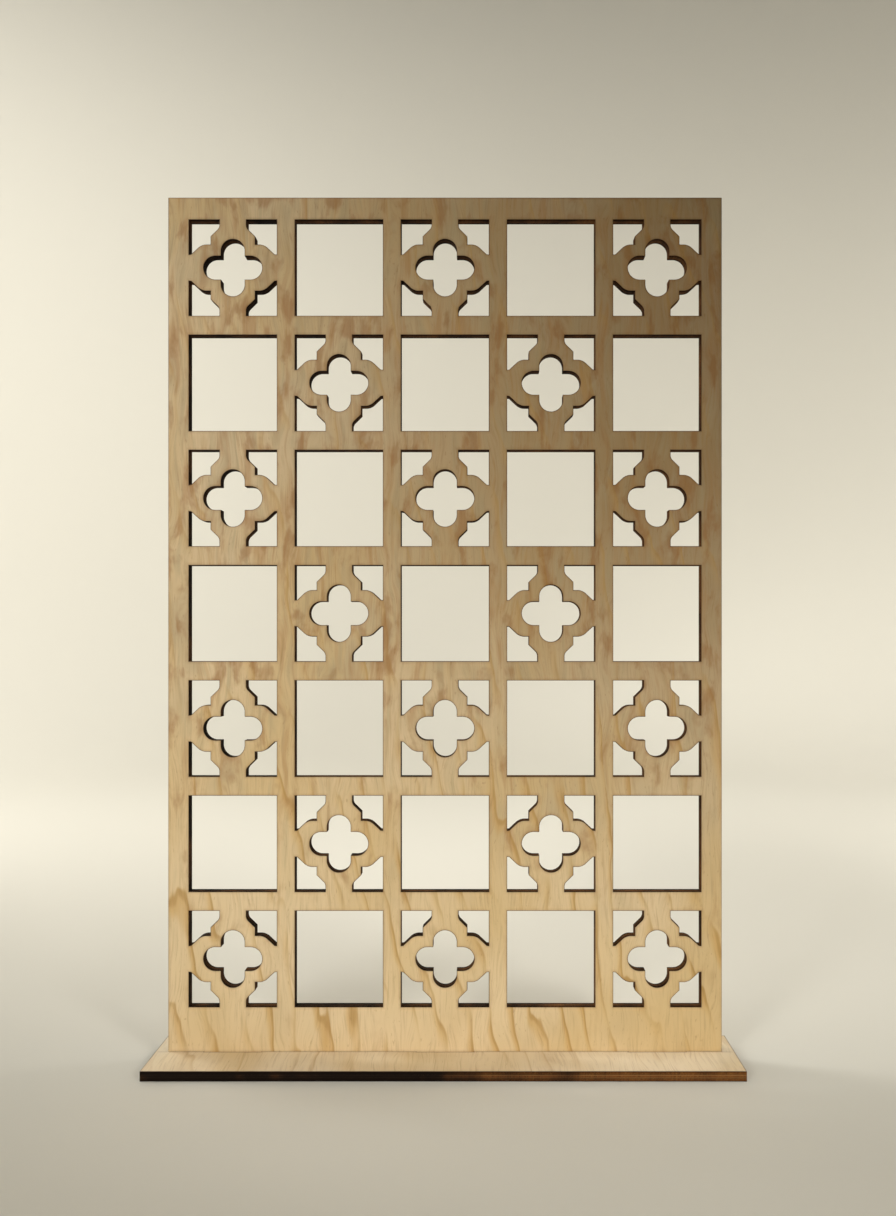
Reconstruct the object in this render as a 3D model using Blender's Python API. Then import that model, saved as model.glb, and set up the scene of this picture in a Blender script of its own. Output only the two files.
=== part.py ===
"""Laser-cut wood panel: a pierced plywood lattice standing in a plywood foot plate.

Metres, +Z up. The panel's front face looks along -Y. The origin is the middle of
the foot plate's underside. Both pieces are cut from the same sheet: tabs along the
panel's bottom edge stand in slots through the foot plate.
"""
from math import acos, cos, pi, sin, tan

import bmesh
import bpy
from mathutils import Vector

# Stock and fits
SHEET_THICKNESS = 0.0040      # three-ply birch
TOUCH_GAP = 0.0003            # air between two faces that rest on each other
TAB_CLEARANCE = 0.0003        # air round each tab in its slot, and under its end

# Lattice
COLUMNS = 5
ROWS = 7
OPENING_WIDTH = 0.0366
OPENING_HEIGHT = 0.0400
POST_WIDTH = 0.0076           # wood left between two columns
RAIL_HEIGHT = 0.0080          # wood left between two rows
SIDE_MARGIN = 0.0086
TOP_MARGIN = 0.0092
BOTTOM_MARGIN = 0.0184

# Quatrefoil in the middle of each patterned cell
LOBE_RADIUS = 0.0049
LOBE_REACH_ACROSS = 0.0122    # cell centre to the tip of a side lobe
LOBE_REACH_UP = 0.0119        # cell centre to the tip of the upper and lower lobes
LOBE_FACETS = 6               # straight cuts that make up one lobe's half round

# Corner cut-outs that leave the rosette round the quatrefoil
NECK_WIDTH = 0.0112           # tie between the rosette and a rail
NECK_LENGTH = 0.0033          # straight length of that tie
NECK_FILLET = 0.0025
SHOULDER_ACROSS = 0.0093      # cell centre to the upright edge of the shoulder
SHOULDER_UP = 0.0131          # cell centre to the shoulder's outer corner
STEP_UP = 0.0097              # cell centre to the level edge of the step
EAR_ACROSS = 0.0130           # cell centre to where the step turns into the ear
EAR_FILLET = 0.0050
TIE_HEIGHT = 0.0110           # tie between the rosette and a post
EAR_TIP_WIDTH = 0.0009
EAR_TIP_RISE = 0.0001
FILLET_FACETS = 3

# Foot plate
FOOT_SIDE = 0.0054            # plate beyond the panel at each side
FOOT_FRONT = 0.0162           # plate in front of the panel's face
FOOT_BACK = 0.0107            # plate behind the panel

# Tabs
TAB_WIDTH = 0.0240
TAB_COLUMN_STEP = 2           # a tab stands under every second column

# Cutters reach this far past the wood on both sides
OVERCUT = 0.0010

# Sizes that follow from those above
PANEL_WIDTH = COLUMNS * OPENING_WIDTH + (COLUMNS - 1) * POST_WIDTH + 2 * SIDE_MARGIN
PANEL_HEIGHT = ROWS * OPENING_HEIGHT + (ROWS - 1) * RAIL_HEIGHT + TOP_MARGIN + BOTTOM_MARGIN
PANEL_BOTTOM = SHEET_THICKNESS + TOUCH_GAP
FOOT_WIDTH = PANEL_WIDTH + 2 * FOOT_SIDE
FOOT_DEPTH = FOOT_FRONT + SHEET_THICKNESS + FOOT_BACK
PANEL_FRONT_Y = FOOT_FRONT - FOOT_DEPTH / 2
PANEL_BACK_Y = PANEL_FRONT_Y + SHEET_THICKNESS


def clear_scene():
    for item in list(bpy.data.objects):
        bpy.data.objects.remove(item, do_unlink=True)


def wood_material(name, colour, roughness):
    """Bare plywood: no metal in it, a dull surface."""
    material = bpy.data.materials.new(name)
    material.use_nodes = True
    shader = material.node_tree.nodes["Principled BSDF"]
    shader.inputs["Base Color"].default_value = (*colour, 1.0)
    shader.inputs["Roughness"].default_value = roughness
    shader.inputs["Metallic"].default_value = 0.0
    material.diffuse_color = (*colour, 1.0)
    return material


def arc(centre, radius, start, stop, facets):
    """Points along an arc, both ends included."""
    points = []
    for i in range(facets + 1):
        angle = start + (stop - start) * i / facets
        points.append(Vector((centre[0] + radius * cos(angle), centre[1] + radius * sin(angle))))
    return points


def fillet(before, corner, after, radius, facets):
    """Points that round a corner, kept within the two edges that meet there."""
    corner = Vector(corner)
    edge_in = Vector(before) - corner
    edge_out = Vector(after) - corner
    opening_angle = edge_in.angle(edge_out)
    cut = min(radius / tan(opening_angle / 2), edge_in.length / 2, edge_out.length / 2)
    reach = cut / cos(opening_angle / 2)
    true_radius = cut * tan(opening_angle / 2)
    bisector = (edge_in.normalized() + edge_out.normalized()).normalized()
    centre = corner + bisector * reach
    first = corner + edge_in.normalized() * cut - centre
    last = corner + edge_out.normalized() * cut - centre
    swing = acos(max(-1.0, min(1.0, first.dot(last) / true_radius ** 2)))
    turn = 1.0 if first.cross(last) > 0 else -1.0
    points = []
    for i in range(facets + 1):
        angle = turn * swing * i / facets
        points.append(centre + Vector((first.x * cos(angle) - first.y * sin(angle),
                                       first.x * sin(angle) + first.y * cos(angle))))
    return points


def quatrefoil_outline():
    """Four round-ended lobes that cross at the cell's centre, counter-clockwise."""
    points = []
    for quarter in range(4):
        reach = LOBE_REACH_UP if quarter % 2 else LOBE_REACH_ACROSS
        heading = quarter * pi / 2
        middle = reach - LOBE_RADIUS
        centre = (middle * cos(heading), middle * sin(heading))
        points += arc(centre, LOBE_RADIUS, heading - pi / 2, heading + pi / 2, LOBE_FACETS)
        cusp = LOBE_RADIUS * 2 ** 0.5
        points.append(Vector((cusp * cos(heading + pi / 4), cusp * sin(heading + pi / 4))))
    return points


def corner_outline():
    """The upper right corner cut-out of a patterned cell, counter-clockwise."""
    side = OPENING_WIDTH / 2
    top = OPENING_HEIGHT / 2
    neck = (NECK_WIDTH / 2, top)
    neck_turn = (NECK_WIDTH / 2, top - NECK_LENGTH)
    shoulder = (SHOULDER_ACROSS, SHOULDER_UP)
    step = (SHOULDER_ACROSS, STEP_UP)
    ear_turn = (EAR_ACROSS, STEP_UP)
    ear_tip = (side - EAR_TIP_WIDTH, TIE_HEIGHT / 2 + EAR_TIP_RISE)
    points = [Vector((side, TIE_HEIGHT / 2)), Vector((side, top)), Vector(neck)]
    points += fillet(neck, neck_turn, shoulder, NECK_FILLET, FILLET_FACETS)
    points += [Vector(shoulder), Vector(step)]
    points += fillet(step, ear_turn, ear_tip, EAR_FILLET, FILLET_FACETS)
    points.append(Vector(ear_tip))
    return points


def rectangle_outline(left, right, bottom, top):
    return [Vector((left, bottom)), Vector((right, bottom)), Vector((right, top)), Vector((left, top))]


def mirrored(outline, across, up):
    """The outline turned over left to right, top to bottom, or both."""
    points = [Vector((p.x * across, p.y * up)) for p in outline]
    return points if across * up > 0 else points[::-1]


def add_prism(mesh, outline, shift, front, back):
    """Stand a counter-clockwise outline in XZ and give it depth from front to back along Y."""
    near = [mesh.verts.new((p.x + shift[0], front, p.y + shift[1])) for p in outline]
    far = [mesh.verts.new((p.x + shift[0], back, p.y + shift[1])) for p in outline]
    mesh.faces.new(near)
    mesh.faces.new(far[::-1])
    for i in range(len(outline)):
        j = (i + 1) % len(outline)
        mesh.faces.new((near[j], near[i], far[i], far[j]))


def add_plate(mesh, left, right, front, back, bottom, top):
    """A square-edged plate between six planes."""
    add_prism(mesh, rectangle_outline(left, right, bottom, top), (0.0, 0.0), front, back)


def new_object(name, mesh_builder, material=None):
    mesh = bmesh.new()
    mesh_builder(mesh)
    data = bpy.data.meshes.new(name)
    mesh.to_mesh(data)
    mesh.free()
    item = bpy.data.objects.new(name, data)
    bpy.context.scene.collection.objects.link(item)
    if material:
        data.materials.append(material)
    return item


def cut_away(piece, cutter):
    cutter.hide_render = True
    cutter.display_type = "WIRE"
    modifier = piece.modifiers.new("Cut " + cutter.name, "BOOLEAN")
    modifier.operation = "DIFFERENCE"
    modifier.solver = "EXACT"
    modifier.object = cutter


def column_centre(column):
    pitch = OPENING_WIDTH + POST_WIDTH
    return (column - (COLUMNS - 1) / 2) * pitch


def row_centre(row):
    """Height of a row of openings, counted from the top."""
    pitch = OPENING_HEIGHT + RAIL_HEIGHT
    return PANEL_BOTTOM + PANEL_HEIGHT - TOP_MARGIN - OPENING_HEIGHT / 2 - row * pitch


def is_patterned(row, column):
    """Rosettes and plain openings take turns, as on a chessboard, with a rosette in each corner."""
    return (row + column) % 2 == 0


def tab_centres():
    return [column_centre(column) for column in range(0, COLUMNS, TAB_COLUMN_STEP)]


def panel_blank(mesh):
    """The panel's outer outline with its tabs, before the lattice is cut."""
    half = PANEL_WIDTH / 2
    top = PANEL_BOTTOM + PANEL_HEIGHT
    outline = [Vector((-half, top)), Vector((-half, PANEL_BOTTOM))]
    for x in tab_centres():
        left = x - TAB_WIDTH / 2
        right = x + TAB_WIDTH / 2
        outline += [Vector((left, PANEL_BOTTOM)), Vector((left, TAB_CLEARANCE)),
                    Vector((right, TAB_CLEARANCE)), Vector((right, PANEL_BOTTOM))]
    outline += [Vector((half, PANEL_BOTTOM)), Vector((half, top))]
    add_prism(mesh, outline, (0.0, 0.0), PANEL_FRONT_Y, PANEL_BACK_Y)


def lattice_cutter(mesh):
    front = PANEL_FRONT_Y - OVERCUT
    back = PANEL_BACK_Y + OVERCUT
    plain = rectangle_outline(-OPENING_WIDTH / 2, OPENING_WIDTH / 2, -OPENING_HEIGHT / 2, OPENING_HEIGHT / 2)
    corner = corner_outline()
    rosette = [quatrefoil_outline()]
    rosette += [mirrored(corner, across, up) for across in (1, -1) for up in (1, -1)]
    for row in range(ROWS):
        for column in range(COLUMNS):
            centre = (column_centre(column), row_centre(row))
            for outline in rosette if is_patterned(row, column) else [plain]:
                add_prism(mesh, outline, centre, front, back)


def slot_cutter(mesh):
    for x in tab_centres():
        reach = TAB_WIDTH / 2 + TAB_CLEARANCE
        add_plate(mesh, x - reach, x + reach, PANEL_FRONT_Y - TAB_CLEARANCE, PANEL_BACK_Y + TAB_CLEARANCE,
                  -OVERCUT, SHEET_THICKNESS + OVERCUT)


def foot_blank(mesh):
    add_plate(mesh, -FOOT_WIDTH / 2, FOOT_WIDTH / 2, -FOOT_DEPTH / 2, FOOT_DEPTH / 2, 0.0, SHEET_THICKNESS)


def build_lattice_panel():
    wood = wood_material("panel_plywood", (0.55, 0.38, 0.20), 0.62)
    panel = new_object("lattice_panel", panel_blank, wood)
    cut_away(panel, new_object("lattice_openings", lattice_cutter))
    return panel


def build_foot_plate():
    wood = wood_material("foot_plywood", (0.60, 0.43, 0.26), 0.62)
    foot = new_object("foot_plate", foot_blank, wood)
    cut_away(foot, new_object("foot_slots", slot_cutter))
    return foot


clear_scene()
build_foot_plate()
build_lattice_panel()
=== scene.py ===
# %% [markdown]
# # Laser-cut wood panel
# The real object is a small screen of three-ply birch sheet: an upright lattice of rosettes and plain
# windows, cut by laser, that stands on tabs in a flat foot plate. The solids give its sizes. This script
# draws both sheets again, finer, with the edge that a laser leaves and the veneer that birch plywood shows.

# %% Load the frame
from math import radians

import bmesh
import bpy
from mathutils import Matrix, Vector


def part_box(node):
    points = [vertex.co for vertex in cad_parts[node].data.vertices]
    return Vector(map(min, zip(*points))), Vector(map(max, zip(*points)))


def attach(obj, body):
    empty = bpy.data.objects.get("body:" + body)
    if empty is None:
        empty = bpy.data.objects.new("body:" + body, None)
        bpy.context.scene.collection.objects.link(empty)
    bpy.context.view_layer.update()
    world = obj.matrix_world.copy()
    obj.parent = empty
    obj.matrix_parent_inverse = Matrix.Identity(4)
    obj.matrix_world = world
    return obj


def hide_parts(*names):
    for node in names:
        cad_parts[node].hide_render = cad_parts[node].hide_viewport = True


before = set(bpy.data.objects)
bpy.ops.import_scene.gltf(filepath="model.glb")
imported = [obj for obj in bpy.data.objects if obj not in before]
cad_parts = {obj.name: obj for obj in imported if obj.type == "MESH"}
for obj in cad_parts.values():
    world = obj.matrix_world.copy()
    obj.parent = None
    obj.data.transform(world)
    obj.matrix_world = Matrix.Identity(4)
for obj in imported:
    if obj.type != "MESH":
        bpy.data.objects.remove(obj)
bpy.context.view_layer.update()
panel_low, panel_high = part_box("lattice_panel")
foot_low, foot_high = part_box("foot_plate")
MM = 0.001
sheet_thickness = foot_high.z - foot_low.z
print("sheet", round(sheet_thickness / MM, 2), "mm, panel top at", round(panel_high.z / MM, 1), "mm")

# %% [markdown]
# ## Camera
# The photograph was taken from close by with a level lens, a little right of the middle, so the inner walls
# of the windows show on all sides. A level camera with some shift keeps the posts upright, as they are
# there.

# %% Camera
PHOTO_WIDTH = 896             # pixels
PHOTO_HEIGHT = 1216
AXIS_ACROSS = 481             # pixel of the photograph that the lens axis meets
AXIS_DOWN = 645
FOCAL_PIXELS = 840
SENSOR = 36                   # millimetres, the long side
CAMERA_DISTANCE = 350 * MM    # lens to the panel's face
CAMERA_SIDE = 15 * MM
CAMERA_HEIGHT = 173.5 * MM

bpy.ops.object.camera_add(location=(CAMERA_SIDE, panel_low.y - CAMERA_DISTANCE, CAMERA_HEIGHT),
                          rotation=(radians(90), 0, 0))
camera = bpy.context.object
camera.data.sensor_width = SENSOR
camera.data.lens = SENSOR * FOCAL_PIXELS / PHOTO_HEIGHT
camera.data.shift_x = (PHOTO_WIDTH / 2 - AXIS_ACROSS) / PHOTO_HEIGHT
camera.data.shift_y = (AXIS_DOWN - PHOTO_HEIGHT / 2) / PHOTO_HEIGHT
camera.data.clip_start = 10 * MM
bpy.context.scene.camera = camera
print("lens", round(camera.data.lens, 2), "mm")

# %% [markdown]
# ## Working by hand in code
# An operator acts on whatever is selected, so each step first clears the selection and then picks what it
# needs by a test on its place. These helpers open a piece for editing with that selection and close it
# again.


# %% Editing helpers
def select_only(pieces):
    bpy.ops.object.select_all(action="DESELECT")
    for piece in pieces:
        piece.select_set(True)
    bpy.context.view_layer.objects.active = pieces[0]


def pick(piece, kind, wanted):
    """In edit mode, select the vertices, edges or faces that pass the test."""
    bpy.ops.mesh.select_mode(type=kind)
    bpy.ops.mesh.select_all(action="DESELECT")
    shape = bmesh.from_edit_mesh(piece.data)
    parts = {"VERT": shape.verts, "EDGE": shape.edges, "FACE": shape.faces}[kind]
    for part in parts:
        if wanted(part):
            part.select_set(True)
    bmesh.update_edit_mesh(piece.data)


def open_up(piece):
    """Start editing the piece with all of it selected."""
    select_only([piece])
    bpy.ops.object.mode_set(mode="EDIT")
    bpy.ops.mesh.select_mode(type="VERT")
    bpy.ops.mesh.select_all(action="SELECT")


def close_up():
    bpy.ops.object.mode_set(mode="OBJECT")


def apply_place():
    bpy.ops.object.transform_apply(location=True, rotation=True, scale=True)


def report(piece):
    print(piece.name, len(piece.data.vertices), "points", len(piece.data.polygons), "faces")


# %% [markdown]
# ## The cutting drawing
# A laser follows a flat drawing, so the panel starts as one: x runs across the panel and y up it, at z = 0.
# The outline is a plane at the panel's size. Bisecting it at the sides of the tabs leaves short bottom edges
# that are extruded down as tabs, and a limited dissolve clears the helper lines.


# %% Rectangles and the panel's outline
def flat_rectangle(name, left, right, low, high):
    bpy.ops.object.select_all(action="DESELECT")
    bpy.ops.mesh.primitive_plane_add(size=1, location=((left + right) / 2, (low + high) / 2, 0))
    piece = bpy.context.object
    piece.name = name
    bpy.ops.transform.resize(value=(right - left, high - low, 1))
    apply_place()
    return piece


PUSH_FIT = 0.04 * MM          # air under the panel, and round its tabs
TAB_WIDTH = 24 * MM
COLUMN_PITCH = 44.2 * MM
ROW_PITCH = 48 * MM
COLUMNS = 5
ROWS = 7

panel_bottom = foot_high.z + PUSH_FIT
tab_middles = [-2 * COLUMN_PITCH, 0, 2 * COLUMN_PITCH]
outline = flat_rectangle("lattice", panel_low.x, panel_high.x, panel_bottom, panel_high.z)
open_up(outline)
for middle in tab_middles:
    for side in (-1, 1):
        bpy.ops.mesh.select_all(action="SELECT")
        bpy.ops.mesh.bisect(plane_co=(middle + side * TAB_WIDTH / 2, 0, 0), plane_no=(1, 0, 0))


def under_a_tab(edge):
    a, b = (vertex.co for vertex in edge.verts)
    low = max(a.y, b.y) < panel_bottom + PUSH_FIT
    return low and any(abs((a.x + b.x) / 2 - middle) < TAB_WIDTH / 4 for middle in tab_middles)


pick(outline, "EDGE", under_a_tab)
bpy.ops.mesh.extrude_region_move(TRANSFORM_OT_translate={"value": (0, panel_low.z - panel_bottom, 0)})
bpy.ops.mesh.select_all(action="SELECT")
bpy.ops.mesh.dissolve_limited(angle_limit=radians(1))
close_up()
report(outline)

# %% [markdown]
# ## Plain window and quatrefoil
# The window is a rectangle. The quatrefoil has four round-ended lobes: a circle is halved by a bisect that
# clears its inner side, and its two ends are drawn back to the cusps, where the lobes meet.

# %% Window and quatrefoil lines
OPENING_WIDTH = 36.6 * MM
OPENING_HEIGHT = 40.0 * MM
LOBE_RADIUS = 4.9 * MM
LOBE_REACH_ACROSS = 12.2 * MM     # cell's middle to the tip of a side lobe
LOBE_REACH_UP = 11.9 * MM
LOBE_POINTS = 48                  # points in a lobe's full circle
WELD = 0.01 * MM

window_lines = flat_rectangle("window", -OPENING_WIDTH / 2, OPENING_WIDTH / 2,
                              -OPENING_HEIGHT / 2, OPENING_HEIGHT / 2)


def two_lobes(name, reach, quarter_turns):
    """A lobe and its opposite, at this reach from the cell's middle."""
    bpy.ops.object.select_all(action="DESELECT")
    middle = reach - LOBE_RADIUS
    bpy.ops.mesh.primitive_circle_add(vertices=LOBE_POINTS, radius=LOBE_RADIUS, location=(middle, 0, 0))
    piece = bpy.context.object
    piece.name = name
    apply_place()
    open_up(piece)
    bpy.ops.mesh.bisect(plane_co=(middle, 0, 0), plane_no=(1, 0, 0), clear_inner=True)
    pick(piece, "VERT", lambda vertex: vertex.co.x < middle + WELD)
    bpy.ops.mesh.extrude_region_move(TRANSFORM_OT_translate={"value": (LOBE_RADIUS - middle, 0, 0)})
    bpy.ops.mesh.select_all(action="SELECT")
    bpy.ops.mesh.duplicate()
    bpy.ops.transform.rotate(value=radians(180), orient_axis="Z", center_override=(0, 0, 0))
    bpy.ops.mesh.select_all(action="SELECT")
    bpy.ops.transform.rotate(value=radians(90) * quarter_turns, orient_axis="Z", center_override=(0, 0, 0))
    close_up()
    return piece


quatrefoil = two_lobes("side_lobes", LOBE_REACH_ACROSS, 0)
upright_lobes = two_lobes("upright_lobes", LOBE_REACH_UP, 1)
select_only([quatrefoil, upright_lobes])
bpy.ops.object.join()
open_up(quatrefoil)
bpy.ops.mesh.remove_doubles(threshold=WELD)
close_up()
report(quatrefoil)

# %% [markdown]
# ## Corner cut-outs
# Between the rosette and the corner of its cell the laser takes out a shaped piece. Its line is drawn like a
# pen stroke: one vertex, extruded from corner to corner. A face over it lets two corners be rounded with a
# vertex bevel. The other three corners are the same line, mirrored left to right and top to bottom.

# %% Corner lines
NECK_HALF_WIDTH = 5.6 * MM        # tie between the rosette and a rail
NECK_LENGTH = 3.3 * MM
SHOULDER_ACROSS = 9.3 * MM
SHOULDER_UP = 13.1 * MM
STEP_UP = 9.7 * MM
EAR_ACROSS = 13.0 * MM
EAR_TIP_WIDTH = 0.9 * MM
TIE_HALF_HEIGHT = 5.5 * MM        # tie between the rosette and a post
NECK_ROUNDING = 1.06 * MM         # length that the round takes from each of its two lines
EAR_ROUNDING = 1.85 * MM
ROUND_SEGMENTS = 10

side = OPENING_WIDTH / 2
top = OPENING_HEIGHT / 2
neck_turn = (NECK_HALF_WIDTH, top - NECK_LENGTH)
ear_turn = (EAR_ACROSS, STEP_UP)
corner_points = [(side, TIE_HALF_HEIGHT), (side, top), (NECK_HALF_WIDTH, top), neck_turn,
                 (SHOULDER_ACROSS, SHOULDER_UP), (SHOULDER_ACROSS, STEP_UP), ear_turn,
                 (side - EAR_TIP_WIDTH, TIE_HALF_HEIGHT + 0.1 * MM)]


def at_point(place):
    return lambda vertex: abs(vertex.co.x - place[0]) < WELD and abs(vertex.co.y - place[1]) < WELD


bpy.ops.object.select_all(action="DESELECT")
bpy.ops.mesh.primitive_plane_add(size=MM, location=(*corner_points[0], 0))
corners = bpy.context.object
corners.name = "corner_cuts"
apply_place()
open_up(corners)
bpy.ops.mesh.merge(type="CENTER")
for here, there in zip(corner_points, corner_points[1:]):
    step = (there[0] - here[0], there[1] - here[1], 0)
    bpy.ops.mesh.extrude_region_move(TRANSFORM_OT_translate={"value": step})
bpy.ops.mesh.select_all(action="SELECT")
bpy.ops.mesh.edge_face_add()
for place, rounding in ((neck_turn, NECK_ROUNDING), (ear_turn, EAR_ROUNDING)):
    pick(corners, "VERT", at_point(place))
    bpy.ops.mesh.bevel(offset=rounding, segments=ROUND_SEGMENTS, affect="VERTICES")
for mirror in ((-1, 1, 1), (1, -1, 1)):
    bpy.ops.mesh.select_all(action="SELECT")
    bpy.ops.mesh.duplicate()
    bpy.ops.transform.resize(value=mirror, center_override=(0, 0, 0))
close_up()
report(corners)

# %% [markdown]
# ## The whole drawing
# Rosettes and plain windows take turns, as on a chessboard, with a rosette in each corner of the panel. Each
# cell's lines are copied into place and joined with the outline. Faces are then taken out, so that only
# lines are left.

# %% Lay out the panel's lines
TOP_MARGIN = 9.2 * MM

select_only([corners, quatrefoil])
bpy.ops.object.join()
rosette_lines = corners
lines = [outline]
for row in range(ROWS):
    for column in range(COLUMNS):
        template = rosette_lines if (row + column) % 2 == 0 else window_lines
        cell = template.copy()
        cell.data = template.data.copy()
        across = (column - (COLUMNS - 1) / 2) * COLUMN_PITCH
        cell.location = (across, panel_high.z - TOP_MARGIN - OPENING_HEIGHT / 2 - row * ROW_PITCH, 0)
        bpy.context.collection.objects.link(cell)
        lines.append(cell)
select_only(lines)
bpy.ops.object.join()
panel = outline
bpy.data.objects.remove(rosette_lines)
bpy.data.objects.remove(window_lines)
report(panel)

# %% [markdown]
# ## From drawing to sheet
# Filling the lines gives one flat face round all its holes. Insetting it leaves a ring of even width beside
# every cut; the inside is taken out and filled again, so that no thin face crosses it. A point attribute
# then says how far a point is from the cut, 0 on it and the ring's width inside, which later carries the
# smoke stain. Solidify gives the thickness, and a tiny bevel breaks the edges. The panel's bottom edge sits
# tight on the foot and shows only as a faint line, its own burnt edge with a little painted shade along the
# joint, so its points are given a larger distance.

# %% Fill, ring, thickness
STAIN_RING = 1.8 * MM
BROKEN_EDGE = 0.08 * MM
STAIN = "from_cut_mm"
# The seam line is the panel's burnt bottom edge with painted shade along the joint.
SEAM_SHOWS = 0.29             # millimetres from a cut; the panel's bottom edge is marked as little as this


def make_sheet(piece, thickness):
    open_up(piece)
    bpy.ops.mesh.delete(type="ONLY_FACE")
    bpy.ops.mesh.select_all(action="SELECT")
    bpy.ops.mesh.fill(use_beauty=True)
    bpy.ops.mesh.select_all(action="SELECT")
    bpy.ops.mesh.normals_make_consistent(inside=False)
    bpy.ops.mesh.inset(thickness=STAIN_RING, use_even_offset=True)
    close_up()
    bpy.ops.geometry.attribute_add(name=STAIN, domain="POINT", data_type="FLOAT")
    stain = piece.data.attributes[STAIN].data
    for vertex in piece.data.vertices:
        stain[vertex.index].value = STAIN_RING / MM if vertex.select else 0.0
    bpy.ops.object.mode_set(mode="EDIT")
    bpy.ops.mesh.delete(type="FACE")
    layer = bmesh.from_edit_mesh(piece.data).verts.layers.float[STAIN]
    pick(piece, "EDGE", lambda edge: min(vertex[layer] for vertex in edge.verts) > 0)
    bpy.ops.mesh.fill(use_beauty=True)
    bpy.ops.mesh.select_all(action="SELECT")
    bpy.ops.mesh.normals_make_consistent(inside=False)
    close_up()
    if piece.data.polygons[0].normal.z < 0:
        bpy.ops.object.mode_set(mode="EDIT")
        bpy.ops.mesh.flip_normals()
        close_up()
    solid = piece.modifiers.new("Thickness", "SOLIDIFY")
    solid.thickness = thickness
    solid.offset = -1
    bpy.ops.object.modifier_apply(modifier=solid.name)
    edge = piece.modifiers.new("Broken edges", "BEVEL")
    edge.width = BROKEN_EDGE
    edge.segments = 2
    edge.limit_method = "ANGLE"
    edge.angle_limit = radians(60)
    bpy.ops.object.modifier_apply(modifier=edge.name)
    report(piece)


make_sheet(panel, sheet_thickness)
# The panel's bottom edge is marked faintly: its burnt edge and painted shade along the joint.
bottom_points = [v.index for v in panel.data.vertices if abs(v.co.y - panel_bottom) < 2 * BROKEN_EDGE]
for index in bottom_points:
    panel.data.attributes[STAIN].data[index].value = SEAM_SHOWS
print(len(bottom_points), "points on the seam")

# %% [markdown]
# ## Foot plate
# The foot is cut from the same sheet, with three slots for the tabs. It is drawn where it lies, its upper
# face first, so it needs no turning.

# %% Foot plate
foot = flat_rectangle("foot", foot_low.x, foot_high.x, foot_low.y, foot_high.y)
slots = [flat_rectangle("slot", middle - TAB_WIDTH / 2 - PUSH_FIT, middle + TAB_WIDTH / 2 + PUSH_FIT,
                        panel_low.y - PUSH_FIT, panel_high.y + PUSH_FIT) for middle in tab_middles]
select_only([foot, *slots])
bpy.ops.object.join()
make_sheet(foot, sheet_thickness)
foot.location.z = foot_high.z
apply_place()

# %% [markdown]
# ## Glue lines
# Three-ply sheet is two face veneers on a thicker core. The laser burns the wood a little further back than
# the glue between the plies, so two fine ridges run along every cut. Bisecting the sheet at both sides of
# each glue line cuts its walls into strips, and the narrow strips are extruded outwards.

# %% Glue lines
FACE_PLY = 1.40 * MM          # the glue line shows at a bit more than a third of the sheet's thickness
GLUE_LINE = 0.14 * MM
GLUE_STANDS_PROUD = 0.03 * MM


def raise_glue_lines(piece, upper_face):
    """The sheet lies flat, its upper face at this height."""
    lower_face = upper_face - sheet_thickness
    strips = [(upper_face - FACE_PLY - GLUE_LINE, upper_face - FACE_PLY),
              (lower_face + FACE_PLY, lower_face + FACE_PLY + GLUE_LINE)]
    open_up(piece)
    for strip in strips:
        for height in strip:
            bpy.ops.mesh.select_all(action="SELECT")
            bpy.ops.mesh.bisect(plane_co=(0, 0, height), plane_no=(0, 0, 1))
    middles = [sum(strip) / 2 for strip in strips]

    def on_a_strip(face):
        return any(abs(face.calc_center_median().z - middle) < GLUE_LINE / 4 for middle in middles)

    pick(piece, "FACE", on_a_strip)
    bpy.ops.mesh.extrude_region_shrink_fatten(TRANSFORM_OT_shrink_fatten={"value": GLUE_STANDS_PROUD})
    close_up()
    report(piece)


raise_glue_lines(panel, 0)
raise_glue_lines(foot, foot_high.z)

# %% [markdown]
# ## Stand the panel up
# The drawing lay on its back, with its front face up. A quarter turn about X stands it up facing -Y, and its
# front face goes where the solid's front face is.

# %% Stand the panel up
panel.rotation_euler.x = radians(90)
panel.location.y = panel_low.y
select_only([panel])
apply_place()
print("panel from", [round(value / MM, 2) for value in panel.bound_box[0]],
      "to", [round(value / MM, 2) for value in panel.bound_box[6]])

# %% [markdown]
# ## Colours and nodes
# Colours are read off a colour picker as sRGB hex and turned to the linear values that the shader wants. One
# small function adds any node: its settings come by name and its input values in order, and an output of
# another node among those values is linked, so a graph reads like a sum. A finish is then built as a painter
# would, as layers of colour, each as strong as its pattern says.

# %% Colour and node helpers
def linear(code):
    """An sRGB hex colour as linear red, green, blue and alpha."""
    values = [int(code[i:i + 2], 16) / 255 for i in (1, 3, 5)]
    return (*[v / 12.92 if v <= 0.04045 else ((v + 0.055) / 1.055) ** 2.4 for v in values], 1.0)


def add_node(tree, kind, values=(), **settings):
    """Add a node and return its first live output. None among the values leaves an input as it is."""
    node = tree.nodes.new("ShaderNode" + kind)
    for name, setting in settings.items():
        setattr(node, name, setting)
    for socket, value in zip([socket for socket in node.inputs if socket.enabled], values):
        if isinstance(value, bpy.types.NodeSocket):
            tree.links.new(value, socket)
        elif value is not None:
            socket.default_value = value
    return next(socket for socket in node.outputs if socket.enabled)


def new_material(name):
    """A material with its tree and its Principled shader."""
    material = bpy.data.materials.new(name)
    material.use_nodes = True
    return material, material.node_tree, material.node_tree.nodes["Principled BSDF"]


def lay_over(tree, colour, layers, patterns, palette):
    """Lay colours over one another; a layer starts at one value of its pattern and is full at another."""
    for name, pattern, start, full, strength in layers:
        amount = add_node(tree, "MapRange", (patterns[pattern], start, full, 0.0, strength),
                          interpolation_type="SMOOTHSTEP")
        colour = add_node(tree, "Mix", (amount, colour, linear(palette[name])), data_type="RGBA")
    return colour


bpy.context.scene.view_settings.view_transform = "Standard"
print("view transform", bpy.context.scene.view_settings.view_transform)
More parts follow.
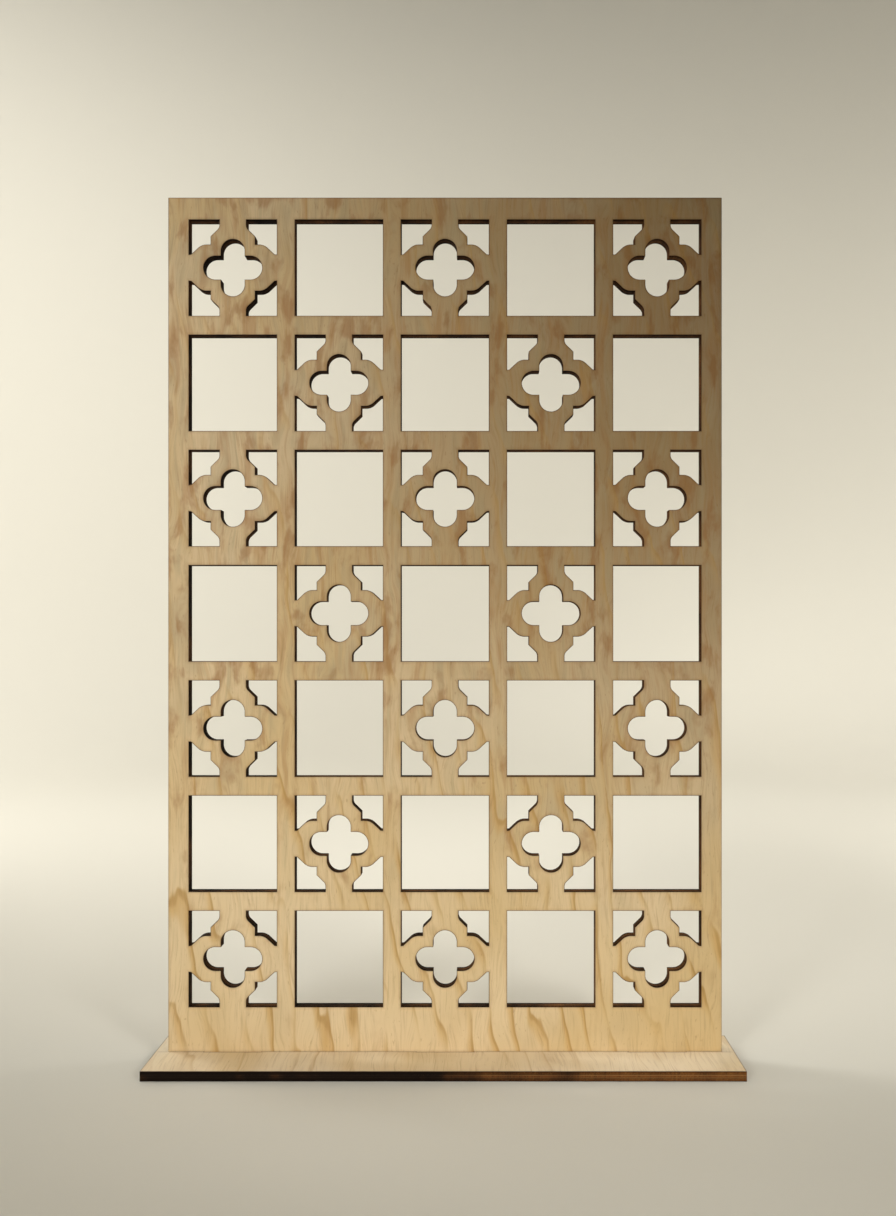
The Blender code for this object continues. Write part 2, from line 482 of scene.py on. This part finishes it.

# %% [markdown]
# ## Birch face veneer
# The face is bare, sanded birch, peeled from a turning log. The knife crosses the year rings at a low angle,
# so they show as thin wavy streaks along the grain, sharp on one side and fading into a warm flush on the
# other. Between them run fibres that are now warmer, now cooler, with a few blotches and short dark flecks.
# Noise stretched along the grain draws them, each at its own size in millimetres, and a soft swirl pulls
# them aside so that nothing runs quite straight. The streaks are the fractional part of a distance across
# the grain that slow noise bends. The streaks are clearest low down and the blotches high up, where painted
# shade also makes the wood browner, the more so towards the right. Beside a cut the smoke has stained the
# wood a little, and the very edge is burnt. To the eye the face is matt, pale and lively, with a faint relief
# of fibres.

# %% Birch face veneer
RING_SPACING = 11.5           # millimetres between two streaks
RING_LEAN = 0.20              # streaks run a little to the right as they go down
SLOW_BEND = 3.0               # how far the noise shifts the streaks, in spacings
QUICK_BEND = 1.1
FLUSH_FROM = 0.55             # share of a spacing at which the flush, then the sharp streak, starts to rise
STREAK_FROM = 0.82
STREAK_PEAK = 0.92
SWIRL = 11                    # millimetres; how far soft noise pulls every pattern aside, to make it wavy
SWIRL_SIZE = (12, 12, 34)     # millimetres across, through and along the grain
# Painted shade: between these the veneer is painted browner towards the right, and upwards.
PAINTED_SHADE_FROM = -100              # millimetres across; the veneer is browner from here to there, and upwards
PAINTED_SHADE_TO = 110
MIDDLE_GREY = 0.5             # mean of every noise
SMOKE_SPREAD = 1.2            # millimetres by which soot makes the smoke stain's rim uneven
# The brown laid on towards the upper right is painted shade.
WOOD = {"cream": "#DAC299", "pale": "#ECDCBF", "honey": "#CBAE79", "painted_shade": "#8A6D47", "grey": "#AF9C79",
        # The pale ground of the foot is a lighter copy of the cream, painted light on its upper face.
        "warm": "#A47844", "cool": "#A6946F", "streak": "#A07D42", "flush": "#C0954F", "blotch": "#946634",
        "fibre": "#86623A", "fleck": "#855C34", "smoke": "#8A5C32", "burnt": "#4A2B14"}

# Size of each pattern in millimetres across and along the grain, and its detail
VENEER_PATTERNS = {"slow_bend": (46, 140, 1), "quick_bend": (13, 42, 2), "presence": (18, 40, 1),
                   "tone": (70, 100, 2), "clouds": (24, 40, 3), "blots": (8, 18, 4), "bands": (5.0, 36, 3),
                   "threads": (1.5, 24, 2), "fibres": (0.55, 13, 3), "flecks": (0.5, 2.8, 1),
                   "soot": (5, 5, 2)}
CALMED = ("clouds", "bands", "threads", "blots")
ROUGHNESS_OF_FINE_NOISE = 0.55

# The second layer, browner up and to the right, is painted shade.
# Colour, its pattern, where it starts and where it is full, and its strength there
FIGURE_LAYERS = [("honey", "tone", 0.36, 0.64, 0.75), ("painted_shade", "painted_shade", 0.0, 1.0, 0.72),
                 ("grey", "clouds", 0.48, 0.68, 0.60),
                 ("warm", "bands", 0.52, 0.68, 0.48), ("cool", "bands", 0.48, 0.32, 0.48),
                 ("warm", "threads", 0.52, 0.72, 0.28), ("cool", "threads", 0.48, 0.28, 0.35),
                 ("flush", "flush", 0.0, 1.0, 0.60), ("streak", "streak", 0.0, 1.0, 0.50),
                 ("blotch", "blots", 0.51, 0.66, 0.58), ("fibre", "fibres", 0.48, 0.76, 0.26),
                 ("fleck", "flecks", 0.68, 0.78, 0.30)]
# Beside a cut these are smoke stain and char; along the seam they are painted shade, over the panel's burnt
# bottom edge.
CUT_LAYERS = [("smoke", "smoke_and_seam_shade", 2.0, 0.3, 0.30), ("burnt", "from_cut", 0.38, 0.08, 0.80)]


def birch_veneer(name, ground, turn, shift, calm_below, streaks, seam_axis, seam):
    """Sanded birch on a ground colour. turn brings the grain to the pattern's Z and shift moves it along the
    log; between two heights there, its streaks, as strong as given, fade and bands and blotches grow, and
    painted shade browns the wood towards the upper right. A thin line marks the seam where the other sheet
    meets it: painted shade along the joint, and on the panel also its own burnt bottom edge."""
    material, tree, shader = new_material(name)
    coordinates = add_node(tree, "TexCoord").node.outputs
    place = add_node(tree, "Mapping", (coordinates["Object"], shift, (turn, 0, 0), (1 / MM,) * 3))
    swirl = add_node(tree, "VectorMath", (place, [1 / size for size in SWIRL_SIZE]), operation="MULTIPLY")
    swirl = add_node(tree, "TexNoise", (swirl, 1.0, 1.0)).node.outputs["Color"]
    wavy = add_node(tree, "VectorMath", (swirl, (SWIRL, 0, SWIRL), place), operation="MULTIPLY_ADD")
    patterns = {}
    for pattern, (across, along, detail) in VENEER_PATTERNS.items():
        stretched = add_node(tree, "VectorMath", (wavy, (1 / across, 1 / across, 1 / along)),
                             operation="MULTIPLY")
        patterns[pattern] = add_node(tree, "TexNoise", (stretched, 1.0, detail, ROUGHNESS_OF_FINE_NOISE))

    # Painted shade, browner to the upper right, and a calmer figure low down
    axes = add_node(tree, "SeparateXYZ", (place,)).node.outputs
    patterns["height"] = add_node(tree, "MapRange", (axes["Z"], *calm_below))
    across = add_node(tree, "MapRange", (axes["X"], PAINTED_SHADE_FROM, PAINTED_SHADE_TO, 0.35, 1.0))
    patterns["painted_shade"] = add_node(tree, "Math", (patterns["height"], across), operation="MULTIPLY")
    calm = add_node(tree, "MapRange", (patterns["height"], 0.0, 1.0, 0.30, 1.2))
    for pattern in CALMED:
        patterns[pattern] = add_node(tree, "Mix", (calm, MIDDLE_GREY, patterns[pattern]), data_type="FLOAT")

    # The streaks: a distance in ring spacings, bent twice, of which only the fraction counts
    leaning = add_node(tree, "Math", (axes["Z"], RING_LEAN, axes["X"]), operation="MULTIPLY_ADD")
    rings = add_node(tree, "Math", (leaning, RING_SPACING), operation="DIVIDE")
    rings = add_node(tree, "Math", (patterns["slow_bend"], SLOW_BEND, rings), operation="MULTIPLY_ADD")
    rings = add_node(tree, "Math", (patterns["quick_bend"], QUICK_BEND, rings), operation="MULTIPLY_ADD")
    phase = add_node(tree, "Math", (rings,), operation="FRACT")
    presence = add_node(tree, "MapRange", (patterns["presence"], 0.36, 0.60, 0.10, 1.0))
    fading = add_node(tree, "MapRange", (patterns["height"], 0.0, 1.0, streaks, streaks / 2))
    presence = add_node(tree, "Math", (presence, fading), operation="MULTIPLY")
    for pattern, rise_from in (("flush", FLUSH_FROM), ("streak", STREAK_FROM)):
        rise = add_node(tree, "MapRange", (phase, rise_from, STREAK_PEAK), interpolation_type="SMOOTHSTEP")
        fall = add_node(tree, "MapRange", (phase, 1.00, 0.93), interpolation_type="SMOOTHSTEP")
        shape = add_node(tree, "Math", (rise, fall), operation="MULTIPLY")
        patterns[pattern] = add_node(tree, "Math", (shape, presence), operation="MULTIPLY")

    # Millimetres from the nearest cut, or from the seam, where a thin line of painted shade is laid along the
    # joint
    along_seam = add_node(tree, "SeparateXYZ", (coordinates["Object"],)).node.outputs[seam_axis]
    seam_edge_and_shade_mm = add_node(tree, "Math", (along_seam, seam), operation="SUBTRACT")
    seam_edge_and_shade_mm = add_node(tree, "Math", (seam_edge_and_shade_mm,), operation="ABSOLUTE")
    seam_edge_and_shade_mm = add_node(tree, "Math", (seam_edge_and_shade_mm, 1 / MM, SEAM_SHOWS), operation="MULTIPLY_ADD")
    from_cut = add_node(tree, "Attribute", attribute_name=STAIN).node.outputs["Fac"]
    patterns["from_cut"] = add_node(tree, "Math", (from_cut, seam_edge_and_shade_mm), operation="MINIMUM")
    patterns["smoke_and_seam_shade"] = add_node(tree, "Math", (patterns["soot"], SMOKE_SPREAD, patterns["from_cut"]),
                                   operation="MULTIPLY_ADD")
    colour = lay_over(tree, linear(WOOD[ground]), FIGURE_LAYERS, patterns, WOOD)
    colour = lay_over(tree, colour, CUT_LAYERS, patterns, WOOD)
    tree.links.new(colour, shader.inputs["Base Color"])
    roughness = add_node(tree, "MapRange", (patterns["fibres"], 0.3, 0.7, 0.55, 0.70))
    tree.links.new(roughness, shader.inputs["Roughness"])
    shader.inputs["Specular IOR Level"].default_value = 0.3
    grain = add_node(tree, "Bump", (0.35, 0.03 * MM, None, patterns["fibres"]))
    tree.links.new(grain, shader.inputs["Normal"])
    return material


panel_veneer = birch_veneer("sanded_birch_panel", "cream", 0, (0, 0, 0), (30, 230), 1.0, "Z", panel_bottom)
# The foot's paler ground, though it is the same sheet as the panel, is painted light on its upper face.
foot_veneer = birch_veneer("sanded_birch_foot", "pale", radians(90), (170, 0, 420), (800, 900), 0.45,
                           "Y", panel_low.y)
print("made", panel_veneer.name, "and", foot_veneer.name)

# %% [markdown]
# ## Laser-burnt edge
# The beam chars the wood as it goes through: nearly black where it meets the end of the grain, a warm brown
# where it runs beside it, and golden in specks where the char has come off. The core's grain lies crosswise,
# so it is light where the face plies are dark. The glue lines stay paler, the far one more than the near one,
# and fine strokes run through the sheet where the beam pulsed. Char is soot: it takes nearly all light, so it
# is black and without gloss. Towards the right, painted light makes the walls lighter, rust and golden, most
# of all at the foot's right end.

# %% Laser-burnt edge
GLUE_SHOWS = 0.30             # millimetres; about twice the true glue line, so that it shows in the render
RIM_SHOWS = 0.60              # the darkest char, beside the sheet's faces
PLY_BLUR = 0.06               # millimetres over which one ply's char turns into the next one's
STROKE_WIDTH = 0.5            # marks of the pulsing beam, which run through the sheet
STROKE_LENGTH = 6
PATCH_SIZE = 14               # millimetres between places where more of the char has come off
PATCH_SHARE = 0.25
SPECKS_PER_MM = 3.0
CHAR = {"black": "#140C07", "brown": "#6E4226", "rust": "#7C4A1F", "gold": "#A87840", "glue": "#C0935A"}
# The rust layer and the golden specks follow char that has come off, and towards the right painted light.
CHAR_LAYERS = [("brown", "sides", 0.0, 1.0, 0.80), ("rust", "bared_and_lit", 0.0, 1.0, 0.70),
               ("black", "strokes", 0.44, 0.66, 0.45), ("gold", "specks", 0.0, 1.0, 0.38),
               ("black", "seared", 0.0, 1.0, 0.40), ("black", "rim", 0.0, 1.0, 0.75),
               ("glue", "glue", 0.0, 1.0, 0.70)]


def burnt_edge(name, depth_axis, front, along_grain, lit_from, lit_to, least, most):
    """The cut walls of a sheet whose thickness runs along depth_axis from front. Along X, from lit_from to
    lit_to in millimetres, painted light, drawn like char that has come off, goes from least to most; random
    patches where the char has come off lie over it."""
    sheet_half = sheet_thickness / MM / 2
    core_half = sheet_half - FACE_PLY / MM - GLUE_LINE / MM / 2
    material, tree, shader = new_material(name)
    coordinates = add_node(tree, "TexCoord").node.outputs
    place = add_node(tree, "VectorMath", (coordinates["Object"], 1 / MM), operation="SCALE")
    axes = add_node(tree, "SeparateXYZ", (place,)).node.outputs

    # How far from the middle of the core, and from its glue lines
    depth = add_node(tree, "Math", (axes[depth_axis], front / MM), operation="SUBTRACT")
    from_middle = add_node(tree, "Math", (depth, sheet_half), operation="SUBTRACT")
    from_middle = add_node(tree, "Math", (from_middle,), operation="ABSOLUTE")
    in_core = add_node(tree, "MapRange", (from_middle, core_half + PLY_BLUR, core_half - PLY_BLUR))
    beyond_glue = add_node(tree, "Math", (from_middle, core_half), operation="SUBTRACT")
    from_glue = add_node(tree, "Math", (beyond_glue,), operation="ABSOLUTE")
    glue = add_node(tree, "MapRange", (from_glue, GLUE_SHOWS / 2, GLUE_SHOWS / 4))
    far_side = add_node(tree, "MapRange", (depth, core_half, sheet_half * 2 - core_half, 0.3, 1.0))
    glue = add_node(tree, "Math", (glue, far_side), operation="MULTIPLY")
    seared = add_node(tree, "MapRange", (from_glue, GLUE_SHOWS * 1.2, GLUE_SHOWS * 0.8))
    rim = add_node(tree, "MapRange", (from_middle, sheet_half - RIM_SHOWS, sheet_half - RIM_SHOWS / 4))

    # A wall that looks along the face grain cuts its ends; one that looks across it runs beside them
    normal = add_node(tree, "SeparateXYZ", (coordinates["Normal"],)).node.outputs
    face_ends = add_node(tree, "Math", (normal[along_grain],), operation="ABSOLUTE")
    core_ends = add_node(tree, "Math", (1.0, face_ends), operation="SUBTRACT")
    sides = add_node(tree, "Mix", (in_core, core_ends, face_ends), data_type="FLOAT")

    stroke_size = [1 / STROKE_WIDTH] * 3
    stroke_size["XYZ".index(depth_axis)] = 1 / STROKE_LENGTH
    stroke_place = add_node(tree, "VectorMath", (place, stroke_size), operation="MULTIPLY")
    strokes = add_node(tree, "TexNoise", (stroke_place, 1.0, 2.0))
    patches = add_node(tree, "TexNoise", (place, 1 / PATCH_SIZE, 2.0))
    patches = add_node(tree, "MapRange", (patches, 0.3, 0.7, -PATCH_SHARE, PATCH_SHARE))
    # Painted light: the walls grow lighter towards the right.
    lit_towards_right = add_node(tree, "MapRange", (axes["X"], lit_from, lit_to, least, most))
    bared_and_lit = add_node(tree, "Math", (patches, lit_towards_right), operation="ADD", use_clamp=True)
    shown = add_node(tree, "MapRange", (bared_and_lit, 0.0, 0.7, 0.06, 1.0))
    specks = add_node(tree, "TexNoise", (place, SPECKS_PER_MM, 1.0))
    specks = add_node(tree, "MapRange", (specks, 0.50, 0.68))
    patterns = {"bared_and_lit": bared_and_lit, "strokes": strokes, "seared": seared, "rim": rim,
                "sides": add_node(tree, "Math", (sides, shown), operation="MULTIPLY"),
                "specks": add_node(tree, "Math", (specks, bared_and_lit), operation="MULTIPLY"),
                "glue": add_node(tree, "Math", (glue, shown), operation="MULTIPLY")}
    colour = lay_over(tree, linear(CHAR["black"]), CHAR_LAYERS, patterns, CHAR)
    tree.links.new(colour, shader.inputs["Base Color"])
    shader.inputs["Roughness"].default_value = 0.9
    shader.inputs["Specular IOR Level"].default_value = 0.08
    relief = add_node(tree, "Bump", (0.5, 0.05 * MM, None, strokes))
    tree.links.new(relief, shader.inputs["Normal"])
    return material


# The rise towards the right is painted light, strongest at the foot's right end.
panel_edge = burnt_edge("laser_burnt_panel_edge", "Y", panel_low.y, "Z", -110, 110, 0.15, 0.40)
foot_edge = burnt_edge("laser_burnt_foot_edge", "Z", foot_low.z, "Y", -30, 100, -0.1, 0.9)
print("made", panel_edge.name, "and", foot_edge.name)

# %% [markdown]
# ## Dress the pieces
# Faces that look along the sheet's thickness are veneer, and every other face is burnt edge. Smooth shading
# by angle keeps the lobes round and the corners crisp.


# %% Materials on faces
FLAT_ENOUGH = 0.95


def dress(piece, veneer, edge, axis):
    piece.data.materials.clear()
    piece.data.materials.append(veneer)
    piece.data.materials.append(edge)
    for face in piece.data.polygons:
        face.material_index = 0 if abs(face.normal[axis]) > FLAT_ENOUGH else 1
    select_only([piece])
    bpy.ops.object.shade_smooth_by_angle(angle=radians(35))
    print(piece.name, sum(face.material_index == 0 for face in piece.data.polygons), "veneer faces")


dress(panel, panel_veneer, panel_edge, 1)
dress(foot, foot_veneer, foot_edge, 2)

# %% [markdown]
# ## Hand the pieces to the frame
# Each finer sheet stands for one solid, which is hidden, and is attached to the root body.

# %% Pieces and frame
panel.name = "fine_lattice_panel"
foot.name = "fine_foot_plate"
for piece, node, finish in ((panel, "lattice_panel", "panel_plywood"), (foot, "foot_plate", "foot_plywood")):
    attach(piece, "root")
    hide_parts(node)

# %% [markdown]
# ## Studio
# A plain pale floor that curves up all round, like a photographer's sweep, so that every view has a quiet
# background. It is a disc whose rim is extruded outwards and up in steps, smoothed by a subdivision surface.

# %% Floor
FLOOR_RADIUS = 0.9
SWEEP_STEPS = [(1.25, 0.05), (1.15, 0.25), (1.05, 0.6), (1.02, 1.0)]    # growth of the rim, rise in metres

bpy.ops.object.select_all(action="DESELECT")
bpy.ops.mesh.primitive_circle_add(vertices=64, radius=FLOOR_RADIUS, fill_type="NGON")
floor = bpy.context.object
floor.name = "studio_floor"
open_up(floor)
bpy.ops.mesh.inset(thickness=0.1)
pick(floor, "EDGE", lambda edge: edge.is_boundary)
for growth, rise in SWEEP_STEPS:
    bpy.ops.mesh.extrude_region_move(TRANSFORM_OT_translate={"value": (0, 0, rise)})
    bpy.ops.transform.resize(value=(growth, growth, 1), center_override=(0, 0, 0))
close_up()
smooth = floor.modifiers.new("Smooth", "SUBSURF")
smooth.levels = 2
smooth.render_levels = 2
bpy.ops.object.modifier_apply(modifier=smooth.name)
bpy.ops.object.shade_smooth()
paper, _, paper_shader = new_material("pale_paper")
paper_shader.inputs["Base Color"].default_value = linear("#D4D0C4")
paper_shader.inputs["Roughness"].default_value = 0.9
floor.data.materials.append(paper)
report(floor)

# %% [markdown]
# ## Light
# A soft-edged spot stands at the front left, at the panel's height, and is aimed at its left side, so the
# lattice is bright there and falls into a gentle shade towards its upper right. A second one high in front
# lights the foot, and one on the right lifts the lower right corner. Three discs behind the panel, out of
# the camera's sight, light the sweep, its left side brightest.

# %% Lamps
# Name, place, target, cone in degrees, radius in metres, watts
SPOTS = [("key", (-0.60, -0.60, 0.45), (-0.19, 0, 0.21), 34, 0.28, 67),
         ("over_foot", (0.10, -0.50, 0.80), (0.03, 0, -0.02), 24, 0.20, 4),
         ("right", (0.60, -0.50, 0.40), (0.14, 0, 0), 24, 0.20, 43)]
# Name, place, target, size in metres, watts
DISCS = [("sweep_left", (-0.60, 0.25, 1.15), (-0.30, 1.30, 0.50), 0.5, 7.8),
         ("sweep_low", (-0.65, 0.20, 0.50), (-0.40, 1.30, 0.15), 0.4, 4),
         ("sweep_right", (0.65, 0.15, 0.55), (0.50, 1.30, 0.05), 0.4, 4.8)]
LAMP_WHITE = "#FFFEFB"
SKY_WHITE = "#F9F8F4"
SKY_STRENGTH = 0.08


def add_lamp(kind, name, place, target, watts):
    bpy.ops.object.light_add(type=kind, location=place)
    lamp = bpy.context.object
    lamp.name = name
    lamp.rotation_euler = (Vector(target) - Vector(place)).to_track_quat("-Z", "Y").to_euler()
    lamp.visible_camera = False
    lamp.data.energy = watts
    lamp.data.color = linear(LAMP_WHITE)[:3]
    return lamp.data


for name, place, target, cone, radius, watts in SPOTS:
    spot = add_lamp("SPOT", name, place, target, watts)
    spot.spot_size = radians(cone)
    spot.spot_blend = 1.0
    spot.shadow_soft_size = radius
for name, place, target, size, watts in DISCS:
    disc = add_lamp("AREA", name, place, target, watts)
    disc.shape = "DISK"
    disc.size = size
world = bpy.data.worlds.new("studio")
world.use_nodes = True
world.node_tree.nodes["Background"].inputs["Color"].default_value = linear(SKY_WHITE)
world.node_tree.nodes["Background"].inputs["Strength"].default_value = SKY_STRENGTH
bpy.context.scene.world = world
